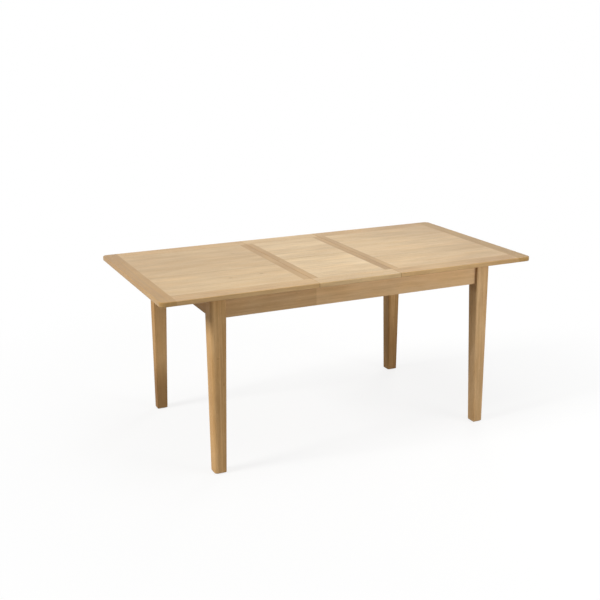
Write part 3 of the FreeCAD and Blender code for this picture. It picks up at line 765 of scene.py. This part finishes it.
def turned(profile: Profile, sides: int, closed_rows: bool = False) -> Surface:
    """Turned shape about +Z, from rows of radius and height that go up, and down again for a bore."""
    stations = np.array(profile)
    return ring_grid(around(stations[:, :1], full_turn(sides), stations[:, 1:]), closed_rows)


def along_axis(place: Vector, direction: Vector) -> Matrix:
    """Matrix that moves the origin to a place and turns +Z to a direction."""
    return Matrix.Translation(place) @ direction.to_track_quat("Z", "Y").to_matrix().to_4x4()


def fit(piece: bpy.types.Object, body: str, slot: str, *nodes: str) -> None:
    """Let a piece stand for CAD nodes.

    Args:
        piece: the piece.
        body: the nodes' body, which it rides.
        slot: their material slot, which is not used.
        *nodes: the nodes' names.
    """
    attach(piece, body)
    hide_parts(*nodes)
    LOG.info("%s: %d faces, for %s", piece.name, len(piece.data.polygons), ", ".join(nodes))


@dataclass
class ScrewSet:
    """Countersunk screws of one CAD node, in columns along X and rows along Y over its box."""

    node: str
    body: str
    columns: int = 2
    rows: int = 2
    head_up: bool = False
    head_radius: float = 0.004
    head_height: float = 0.0025
    land: float = 0.0002
    shank_radius: float = 0.002
    point_length: float = 0.005
    point_radius: float = 0.0005
    recess_depth: float = 0.0016
    recess_reach: float = 0.0021
    recess_half_width: float = 0.00055
    recess_slope: float = 0.0003
    recess_fall_share: float = 0.4
    head_ring_shares: Stations = (0.05, 0.12, 0.20, 0.30, 0.40, 0.50, 0.58, 0.75, 0.97)
    sides: int = 32

    def inside(self, place: np.ndarray, limit: float) -> np.ndarray:
        """Share of the depth at a place: one inside a limit, zero outside, with a slope between."""
        return np.clip((limit - np.abs(place)) / self.recess_slope + 0.5, 0, 1)

    def recess(self, x: np.ndarray, y: np.ndarray) -> np.ndarray:
        """Depth of the cross recess, the deeper of two sloped slots, shallower away from the middle.

        Args:
            x: places along one slot.
            y: places along the other.

        Returns:
            The depth at each place.
        """
        along_x = self.inside(x, self.recess_reach) * self.inside(y, self.recess_half_width)
        along_y = self.inside(y, self.recess_reach) * self.inside(x, self.recess_half_width)
        fall = 1 - self.recess_fall_share * np.hypot(x, y) / self.recess_reach
        return self.recess_depth * np.maximum(along_x, along_y) * fall

    def screw(self, length: float) -> Surface:
        """One screw along +Z, with the flat of its head at the origin.

        Args:
            length: from the head to the point.

        Returns:
            The surface: rings out over the head, then up the cone, the shank and the point.
        """
        head = [(self.head_radius * share, 0.0) for share in self.head_ring_shares]
        body = [
            (self.head_radius, self.land),
            (self.shank_radius, self.head_height),
            (self.shank_radius, length - self.point_length),
            (self.point_radius, length),
        ]
        surface = turned(head + body, self.sides)
        over_head = surface.points[: len(head) * self.sides]
        over_head[:, 2] += self.recess(over_head[:, 0], over_head[:, 1])
        return surface

    def build(self, finish: Material) -> None:
        """Set the screws at even places over the node's box.

        Args:
            finish: their material.
        """
        low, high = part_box(self.node)
        x_places = np.linspace(low.x + self.head_radius, high.x - self.head_radius, self.columns)
        y_places = np.linspace(low.y + self.head_radius, high.y - self.head_radius, self.rows)
        screw = self.screw(high.z - low.z)
        start, point = (high.z, -UP) if self.head_up else (low.z, UP)
        places = [Vector((x, y, start)) for x in x_places for y in y_places]
        screws = joined([screw.placed(along_axis(place, point)) for place in places])
        fit(screws.piece(self.node + "_turned", finish), self.body, "steel", self.node)


SCREW_SETS = (
    ScrewSet("left_runner_screws", "left_top", columns=3),
    ScrewSet("left_batten_screws", "left_top", columns=1),
    ScrewSet("right_runner_screws", "right_top", columns=3),
    ScrewSet("right_batten_screws", "right_top", columns=1),
    ScrewSet("leaf_batten_screws", "leaf_front"),
    ScrewSet("pivot_block_screws", "frame"),
    ScrewSet("guide_rail_screws", "frame", head_up=True),
)


@dataclass
class LegBolts:
    """Threaded leg bolts on the diagonals of the corner braces, with flange nuts."""

    bolt_radius: float = 0.004
    bolt_length: float = 0.0687
    pitch: float = 0.00125
    thread_depth: float = 0.00055
    rows_per_turn: int = 8
    bolt_sides: int = 24
    end_bevel: float = 0.0009
    nut_apothem: float = 0.0065
    nut_height: float = 0.0065
    nut_bevel_drop: float = 0.0007
    nut_foot_share: float = 1.08
    nut_corner_share: float = 0.995
    nut_crown_share: float = 1.01
    flange_radius: float = 0.009
    flange_edge: float = 0.0011
    flange_slope_top: float = 0.0022
    nut_sides: int = 48

    def bolt(self) -> Surface:
        """One bolt along +Z.

        Its radius is a ridge that climbs one pitch in each turn, so the ridge's phase is the height over
        the pitch, less the share of the turn. Both ends are bevelled.

        Returns:
            The surface.
        """
        rows = int(self.bolt_length / self.pitch * self.rows_per_turn)
        height = np.linspace(0, self.bolt_length, rows)[:, None]
        turn = full_turn(self.bolt_sides)
        phase = (height / self.pitch - turn / (2 * np.pi)) % 1.0
        ridge = 1 - np.abs(2 * phase - 1)
        to_end = np.minimum(height, self.bolt_length - height)
        bevel = np.clip(to_end - self.end_bevel, -self.end_bevel, 0)
        thread = self.bolt_radius - self.thread_depth * (1 - ridge)
        return ring_grid(around(np.minimum(thread, self.bolt_radius + bevel), turn, height))

    def nut(self) -> Surface:
        """One flange nut along +Z from its seat.

        The six flats are at the apothem over the cosine of the angle from the middle of a flat, and a
        cone takes off their upper corners. The profile goes up outside and down the bore.

        Returns:
            The surface.
        """
        turn = full_turn(self.nut_sides)
        half_flat = np.pi / 6
        from_flat = (turn + half_flat) % (2 * half_flat) - half_flat
        flats = self.nut_apothem / np.cos(from_flat)
        bore = self.bolt_radius - self.thread_depth / 2
        corner = self.nut_apothem / math.cos(half_flat)
        stations = [
            (self.flange_radius, 0.0),
            (self.flange_radius, self.flange_edge),
            (np.maximum(flats, self.nut_apothem * self.nut_foot_share), self.flange_slope_top),
            (flats, self.flange_slope_top + self.end_bevel),
            (np.minimum(flats, corner * self.nut_corner_share), self.nut_height - self.nut_bevel_drop),
            (np.minimum(flats, self.nut_apothem * self.nut_crown_share), self.nut_height),
            (bore + self.end_bevel, self.nut_height),
            (bore, self.nut_height - self.end_bevel),
            (bore, 0.0),
        ]
        radius = np.stack([np.broadcast_to(station, turn.shape) for station, _ in stations])
        height = np.array([[station] for _, station in stations])
        return ring_grid(around(radius, turn, height), closed_rows=True)

    def build(self, finish: Material) -> None:
        """Set a bolt and a nut at each corner of the frame, pointing inwards along the diagonal.

        Args:
            finish: their material.
        """
        middle_z = centre_of("leg_bolts").z
        for node, name, surface, radius in (
            ("leg_bolts", "leg_bolts_threaded", self.bolt(), self.bolt_radius),
            ("leg_bolt_nuts", "leg_nuts_flanged", self.nut(), self.flange_radius),
        ):
            _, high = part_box(node)
            back = radius * math.sqrt(0.5)
            placed = []
            for sign_x in ENDS.values():
                for sign_y in SIDES.values():
                    place = Vector((sign_x * (high.x - back), sign_y * (high.y - back), middle_z))
                    inwards = Vector((-sign_x, -sign_y, 0)).normalized()
                    placed.append(surface.placed(along_axis(place, inwards)))
            fit(joined(placed).piece(name, finish), "frame", "steel", node)


@dataclass
class LeafPivots:
    """Steel pivot pins of the leaf and the brass bushes that they turn in, along X."""

    pin_bevel: float = 0.0008
    bush_wall: float = 0.002
    bush_bevel: float = 0.0004
    sides: int = 40

    def wall(self, radius: float, length: float, bevel: float, sign: int = 1) -> Profile:
        """Straight wall with a bevel at both ends, drawn in for sign 1 and flared like a bore for -1."""
        end = radius - sign * bevel
        return [(end, 0.0), (radius, bevel), (radius, length - bevel), (end, length)]

    def pin(self, radius: float, length: float) -> Surface:
        """Plain pin along +Z with bevelled ends."""
        return turned(self.wall(radius, length, self.pin_bevel), self.sides)

    def bush(self, radius: float, length: float) -> Surface:
        """Open bush along +Z, bevelled at all four edges: up its outside and down its bore."""
        bore = self.wall(radius - self.bush_wall, length, self.bush_bevel, -1)
        return turned(self.wall(radius, length, self.bush_bevel) + bore[::-1], self.sides, True)

    def build(self, steel: Material, brass: Material) -> None:
        """Set a pin and a bush at each end of the leaf.

        Args:
            steel: material of the pins.
            brass: material of the bushes.
        """
        for node, carrier, body, slot, finish, make in (
            ("leaf_pivot_pins", "leaf_batten_right", "leaf_front", "steel", steel, self.pin),
            ("pivot_bushes", "pivot_block_right", "frame", "brass", brass, self.bush),
        ):
            low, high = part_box(node)
            middle = centre_of(node)
            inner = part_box(carrier)[0].x
            surface = make((high.y - low.y) / 2, high.x - inner)
            placed = []
            for sign in ENDS.values():
                place = Vector((sign * inner, middle.y, middle.z))
                placed.append(surface.placed(along_axis(place, Vector((sign, 0, 0)))))
            fit(joined(placed).piece(node + "_turned", finish), body, slot, node)


# Oak of each leg, as fields of OakFinish: edges lie along X, and places along the grain are heights.
# The rear legs carry painted shade at their feet, and the rear right leg painted light above its shadow
# line.
LEG_TIMBER: dict[str, Settings] = {
    "leg_front_left": {
        "edges": (-0.618, -0.606),
        "tones": (1.0, 0.985, 0.965),
        "fades": (Fade(0.36, 0.12, 0.03),),
        "knots": (Knot(0.497, -0.627, 0.002, 0.008), Knot(0.386, -0.605, 0.008, 0.003)),
    },
    "leg_front_right": {
        "tone": (206, 171, 126),
        "edges": (0.612,),
        "tones": (1.01, 0.99),
        "fades": (Fade(0.30, 0.10, 0.03),),
    },
    # Rear left leg: its left face is darker than its front, and painted shade darkens its foot.
    "leg_rear_left": {"edges": (-0.651,), "tones": (0.84, 1.15), "stain": Fade(0.28, 0.10, 0.85)},
    # Rear right leg: the fade is painted light, paler above about 0.43 m where light falls on it, and
    # painted shade darkens its foot.
    "leg_rear_right": {
        "edges": (0.607, 0.632),
        "tones": (0.85, 0.955, 0.87),
        "fades": (Fade(0.38, 0.43, 0.03),),
        "stain": Fade(0.42, 0.04, 0.55),
        "knots": (Knot(0.29, 0.628, 0.006, 0.003),),
    },
}


@dataclass
class Legs:
    """Four square legs, tapered on their two inner faces, and the glides under them.

    The outer corner of each leg has a large round, the inner one a smaller round, and the others are fine.
    The painted shade line at the shoulders, where the aprons meet a leg, is given by its strength and half
    width.
    """

    foot_side: float = 0.0495
    crease_soft: float = 0.012
    arris: float = 0.0025
    outer_round: float = 0.014
    inner_round: float = 0.008
    arris_points: int = 9
    arris_lead: float = 0.0015
    sharp_degrees: float = 60.0
    # Painted shade line where an apron meets a leg: its strength and half width.
    shoulder_line: Line = (0.5, 0.0012)
    foot_ease: float = 0.003
    ease_shares: Stations = (0.0, 1 / 3, 1.0)
    rows: int = 40
    glide_radius: float = 0.015
    glide_sides: int = 48
    glide_dish: float = 0.0008
    glide_sole_shares: Stations = (0.1, 0.45, 0.7)
    glide_rim_points: int = 6

    def side_at(self, height: np.ndarray, side: float) -> np.ndarray:
        """Side of the square at heights from the foot up, with a soft crease under the aprons."""
        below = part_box("apron_front")[0].z - height
        return side - (side - self.foot_side) / below[0] * (below + np.hypot(below, self.crease_soft)) / 2

    def leg(self, low: Vector, high: Vector, sign_x: int, sign_y: int) -> Surface:
        """One leg: a square with rounded corners, carried up from the foot, with its outer faces upright.

        At depth d below the aprons, its side is less by the slope times half the sum of d and the root of
        d squared plus the softness squared. A point of the outline is the centre of its corner's round
        plus the radius along its angle. One more point lies on each flat, a short lead from its end, so
        that the flat's shading stays even. The lowest rings are drawn in to ease the foot.

        Args:
            low: lowest corner of the CAD leg's box.
            high: highest corner of that box.
            sign_x: end of the table, -1 for left.
            sign_y: side of the table, -1 for front.

        Returns:
            The surface.
        """
        ease = self.foot_ease * np.array(self.ease_shares)
        straight = np.linspace(low.z + 2 * self.foot_ease, high.z, self.rows)
        height = np.concatenate([low.z + ease, straight])
        inset = np.concatenate([ease[::-1], np.zeros(self.rows)])[:, None]
        half = self.side_at(height, high.x - low.x)[:, None] / 2
        corners = np.pi / 2 * np.arange(4)
        quarter = np.pad(np.linspace(0, np.pi / 2, self.arris_points), 1, mode="edge")
        leads = (-self.arris_lead, self.arris_lead)
        lead = np.tile(np.pad(np.zeros(self.arris_points), 1, constant_values=leads), len(corners))
        angle = (quarter + corners[:, None]).ravel()
        diagonal = np.repeat(np.pi / 4 + corners, len(quarter))
        to_x, to_y = np.sign(np.cos(diagonal)), np.sign(np.sin(diagonal))
        outwards = to_x * sign_x + to_y * sign_y
        rounds = [self.outer_round, self.inner_round]
        radius = np.select([outwards > 0, outwards < 0], rounds, self.arris)
        reach = half - inset - radius
        across_x = reach * to_x + radius * np.cos(angle) - lead * np.sin(angle)
        across_y = reach * to_y + radius * np.sin(angle) + lead * np.cos(angle)
        x = end_of(low.x, high.x, sign_x) - sign_x * half + across_x
        y = end_of(low.y, high.y, sign_y) - sign_y * half + across_y
        return ring_grid(np.stack(np.broadcast_arrays(x, y, height[:, None]), axis=-1))

    def shoulders(self, low: Vector, high: Vector, sign_x: int, sign_y: int) -> tuple[Joint, ...]:
        """Painted shade lines where the aprons meet the two inner faces, which taper away from them below.
        """
        places = (end_of(low.x, high.x, -sign_x), end_of(low.y, high.y, -sign_y))
        return tuple(Joint(axis, place, *self.shoulder_line) for axis, place in enumerate(places))

    def glide(self, height: float) -> Surface:
        """Turned glide with a slightly dished sole, and a rim of a quarter circle over half its height.

        Args:
            height: its height.

        Returns:
            The surface.
        """
        bow = height / 2
        turn = np.linspace(-np.pi / 2, 0, self.glide_rim_points)
        rim = zip(self.glide_radius - bow + bow * np.cos(turn), bow + bow * np.sin(turn))
        rises = (self.glide_dish, self.glide_dish, 0.0)
        sole = [(self.glide_radius * share, rise) for share, rise in zip(self.glide_sole_shares, rises)]
        return turned([*sole, *rim, (self.glide_radius, height)], self.glide_sides)

    def build(self, glide_finish: Material) -> None:
        """Make the legs, each of its own timber, and the glides.

        Args:
            glide_finish: material of the glides.
        """
        glide_low, glide_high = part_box("foot_glides")
        glide = self.glide(glide_high.z - glide_low.z)
        out_x, out_y = glide_high.x - self.glide_radius, glide_high.y - self.glide_radius
        glides = []
        for side, sign_y in SIDES.items():
            for end, sign_x in ENDS.items():
                node = f"leg_{side}_{end}"
                corner = (*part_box(node), sign_x, sign_y)
                # Each leg's joint lines are painted shade where the aprons meet it.
                options = {"joints": self.shoulders(*corner), "sheen": THIN_SHEEN, **LEG_TIMBER[node]}
                oak = oak_for(node, Grain.UPRIGHT, **options)
                piece = self.leg(*corner).piece(node + "_rounded", oak, self.sharp_degrees)
                fit(piece, "frame", "frame_oak", node)
                place = Vector((sign_x * out_x, sign_y * out_y, glide_low.z))
                glides.append(glide.placed(Matrix.Translation(place)))
        fit(joined(glides).piece("foot_glides_turned", glide_finish), "frame", "glide", "foot_glides")


# What sets a board of the top apart from others of its kind, as fields of OakFinish, with painted
# shade where less light falls towards the rear and the right end.
BOARD_TIMBER: dict[str, Settings] = {
    "left_field_panel": {
        "contrast": 0.75,
        "edges": (-0.262, -0.168, -0.078, 0.030, 0.142, 0.255),
        # The staves darken from front to rear: partly their own tones, partly painted shade where less
        # light falls towards the rear.
        "tones": (1.045, 1.015, 1.01, 0.975, 0.95, 0.945, 0.955),
        "knots": (Knot(-0.316, 0.204), Knot(-0.340, -0.186), Knot(-0.484, -0.198)),
        "fades": (Fade(-0.55, -0.80, -0.02),),
    },
    "right_field_panel": {
        "contrast": 0.95,
        "edges": (-0.268, -0.174, -0.078, 0.010, 0.105, 0.210),
        "tones": (1.05, 1.055, 1.01, 1.07, 1.075, 1.045, 0.995),
        # Painted shade: the fade darkens the field towards the right end, where less light falls.
        "fades": (Fade(0.28, 0.88, -0.14),),
    },
    "left_end_board": {"tone": (184, 146, 89), "fades": (Fade(0.15, 0.35, -0.05),)},
    "right_end_board": {"tone": (170, 136, 80)},
    "left_front_rail": {"fades": (Fade(-0.40, -0.22, 0.04),)},
    # Painted shade: these fades darken the right rails towards the right end, where less light falls.
    "right_front_rail": {"fades": (Fade(0.42, 0.66, -0.10),)},
    "right_rear_rail": {"fades": (Fade(0.40, 0.62, -0.13),)},
    "left_crossband": {"fades": (Fade(-0.12, -0.30, 0.07),)},
    "right_crossband": {"fades": (Fade(-0.12, -0.30, 0.07),)},
    "leaf_front_panel": {"edges": (-0.306, -0.030), "tones": (0.985, 1.04, 0.985)},
    "leaf_rear_panel": {"edges": (0.100, 0.190, 0.280), "tones": (0.985, 0.935, 1.01, 0.97)},
    "leaf_front_left_band": {"fades": (Fade(-0.12, -0.25, 0.09),)},
    "leaf_front_right_band": {"fades": (Fade(0.10, -0.25, -0.10),)},
}


@dataclass
class Tops:
    """Boards of the two half tops and of the folding leaf, with lines given by strength and half width."""

    seam_line: Line = (0.55, 0.0014)
    joint_line: Line = (0.22, 0.0009)
    rim_margin: float = 0.002
    leaf_tone: Colour = (221, 193, 149)
    leaf_rail_tone: Colour = (215, 184, 137)

    def joints(self, node: str) -> tuple[Joint, ...]:
        """Draw lines along the edges of a board that lie inside the table's rim.

        Args:
            node: the board.

        Returns:
            The lines, strong at a seam between the tops and the leaf, and weak elsewhere.
        """
        low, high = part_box(node)
        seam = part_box("leaf_front_rail")[1].x
        found = []
        for axis in (0, 1):
            for place in (low[axis], high[axis]):
                at_seam = axis == 0 and abs(abs(place) - seam) < self.rim_margin
                if abs(place) <= CAD_BOX[1][axis] - self.rim_margin:
                    found.append(Joint(axis, place, *(self.seam_line if at_seam else self.joint_line)))
        return tuple(found)

    def board(self, node: str, grain: Grain, **options: Any) -> None:
        """Dress one board of the top, with its joint lines and what sets it apart."""
        dress_oak(node, grain, joints=self.joints(node), **{**options, **BOARD_TIMBER.get(node, {})})

    def dress(self) -> None:
        """Give every board its oak."""
        band = {"tone": BAND_TONE, "contrast": CALM_CONTRAST}
        for end in ENDS:
            self.board(f"{end}_field_panel", Grain.LENGTHWISE, tone=TOP_TONE)
            self.board(f"{end}_end_board", Grain.CROSSWISE, contrast=CALM_CONTRAST)
            self.board(f"{end}_crossband", Grain.CROSSWISE, **band)
            for side in SIDES:
                self.board(f"{end}_{side}_rail", Grain.LENGTHWISE, tone=RAIL_TONE)
        for side in SIDES:
            self.board(f"leaf_{side}_panel", Grain.LENGTHWISE, tone=self.leaf_tone)
            self.board(f"leaf_{side}_rail", Grain.LENGTHWISE, tone=self.leaf_rail_tone)
            for end in ENDS:
                self.board(f"leaf_{side}_{end}_band", Grain.CROSSWISE, **band)


@dataclass
class Underframe:
    """Aprons, and the plain timber of the extending gear."""

    apron_tone: Colour = (211, 176, 132)
    apron_butts: Stations = (-0.190,)
    # The right lengths of the front and rear aprons are paler: partly their own timber, partly painted
    # light for the brighter light on the right of the front.
    apron_tones: Stations = (0.958, 1.055)
    # Darker tone of the end aprons: painted shade, for the shadow of the top's overhang on them.
    end_apron_tone: Colour = (192, 152, 100)

    def apron(self, node: str, grain: Grain, **options: Any) -> None:
        """Dress an apron in calm, thinly sealed oak."""
        dress_oak(node, grain, contrast=CALM_CONTRAST, sheen=THIN_SHEEN, **options)

    def plain(self, node: str, grain: Grain, **options: Any) -> None:
        """Dress a node of the hidden gear in thinly sealed timber."""
        dress_oak(node, grain, tone=INNER_TONE, sheen=THIN_SHEEN, **options)

    def dress(self) -> None:
        """Give every apron, rail, runner, batten and block its timber."""
        lengths = {"tone": self.apron_tone, "butts": self.apron_butts, "butt_tones": self.apron_tones}
        for side, sign_y in SIDES.items():
            self.apron(f"apron_{side}", Grain.LONG_APRON, **lengths)
            self.plain(f"guide_rail_{side}", Grain.LONG_APRON)
            for end, sign_x in ENDS.items():
                askew = -math.pi / 4 * sign_y * sign_x
                self.plain(f"corner_brace_{side}_{end}", Grain.LENGTHWISE, turn=askew)
                self.plain(f"{end}_{side}_runner", Grain.LENGTHWISE)
        for end in ENDS:
            # The end aprons' darker tone is painted shade under the overhang.
            self.apron(f"apron_{end}", Grain.END_APRON, tone=self.end_apron_tone)
            for name in ("cross_rail_{}", "pivot_block_{}", "{}_batten", "leaf_batten_{}"):
                self.plain(name.format(end), Grain.CROSSWISE)
        self.plain("leaf_rest_rail", Grain.LENGTHWISE)


@dataclass
class Camera:
    """Camera of the photograph: where it stands, how it is turned and its focal length."""

    place: Place = (-1.9030, -3.9178, 1.7972)
    yaw: float = 0.4363
    pitch: float = 0.2780
    roll: float = 0.0048
    focal_pixels: float = 995.9
    picture_pixels: float = 600.0
    sensor: float = 36.0

    def build(self) -> None:
        """Make the camera, which looks straight down until it is turned, and set it as the scene's."""
        data = bpy.data.cameras.new("camera")
        data.sensor_width = self.sensor
        data.lens = self.focal_pixels / self.picture_pixels * self.sensor
        camera = bpy.data.objects.new("camera", data)
        turns = ((-self.yaw, "Z"), (math.pi / 2 - self.pitch, "X"), (-self.roll, "Z"))
        yaw, pitch, roll = (Matrix.Rotation(angle, 4, axis) for angle, axis in turns)
        camera.matrix_world = Matrix.Translation(self.place) @ yaw @ pitch @ roll
        bpy.context.scene.collection.objects.link(camera)
        bpy.context.scene.camera = camera


@dataclass(frozen=True)
class Lamp:
    """Square soft lamp that points at the table: its name, place, side and power."""

    name: str
    place: Place
    side: float
    power: float
    aim: Place = (0.0, 0.0, 0.6)

    def build(self) -> None:
        """Hang the lamp, unseen by the camera and by the lacquer's mirror."""
        data = bpy.data.lights.new(self.name, "AREA")
        data.size = self.side
        data.energy = self.power
        lamp = bpy.data.objects.new(self.name, data)
        lamp.location = self.place
        towards = Vector(self.aim) - Vector(self.place)
        lamp.rotation_euler = towards.to_track_quat("-Z", "Y").to_euler()
        lamp.visible_camera = False
        lamp.visible_glossy = False
        bpy.context.scene.collection.objects.link(lamp)


@dataclass
class Studio:
    """Pale floor, even sky light, a key lamp on the left, one overhead and two low fills on the right."""

    floor_half: float = 60.0
    sky: float = 0.28
    lamps: tuple[Lamp, ...] = (
        Lamp("key", (-16.0, -0.5, 9.5), 5.0, 2550.0),
        Lamp("overhead", (0.3, -0.4, 6.0), 3.0, 77.0),
        Lamp("front_fill", (1.9, -2.6, 1.1), 1.4, 37.0),
        Lamp("rear_fill", (2.8, 2.8, 1.2), 1.6, 60.0),
    )

    def floor(self) -> None:
        """Lay a plain square floor."""
        corners = self.floor_half * np.array([(-1, -1, 0), (1, -1, 0), (1, 1, 0), (-1, 1, 0)])
        floor = Surface(corners, np.array([[0, 1, 2, 3]])).piece("floor", FloorFinish().material())

    def world(self) -> None:
        """Make surroundings that are white where they are seen or mirrored, and light at a lower level."""
        world = bpy.data.worlds.new("studio")
        world.use_nodes = True
        bpy.context.scene.world = world
        graph = Graph(world.node_tree)
        strength = graph.seen() * (1.0 - self.sky) + self.sky
        background = graph.add("Background", {}, {"Color": WHITE, "Strength": strength})
        graph.add("OutputWorld", {}, {"Surface": background})

    def build(self) -> None:
        """Make the floor, the surroundings and the lamps."""
        self.floor()
        self.world()
        for lamp in self.lamps:
            lamp.build()


def main() -> None:
    """Build and dress the table, and set up the studio and the camera."""
    logging.basicConfig(level=logging.INFO)
    bpy.context.scene.view_settings.view_transform = "Standard"
    steel, brass = STEEL.material(), BRASS.material()
    Tops().dress()
    Underframe().dress()
    for screws in SCREW_SETS:
        screws.build(steel)
    LegBolts().build(steel)
    LeafPivots().build(steel, brass)
    Legs().build(NYLON.material())
    for side in SIDES:
        dress(f"leaf_{side}_hinges", brass)
    dress("slip_pads", FELT.material())
    Studio().build()
    Camera().build()


if __name__ == "__main__":
    main()
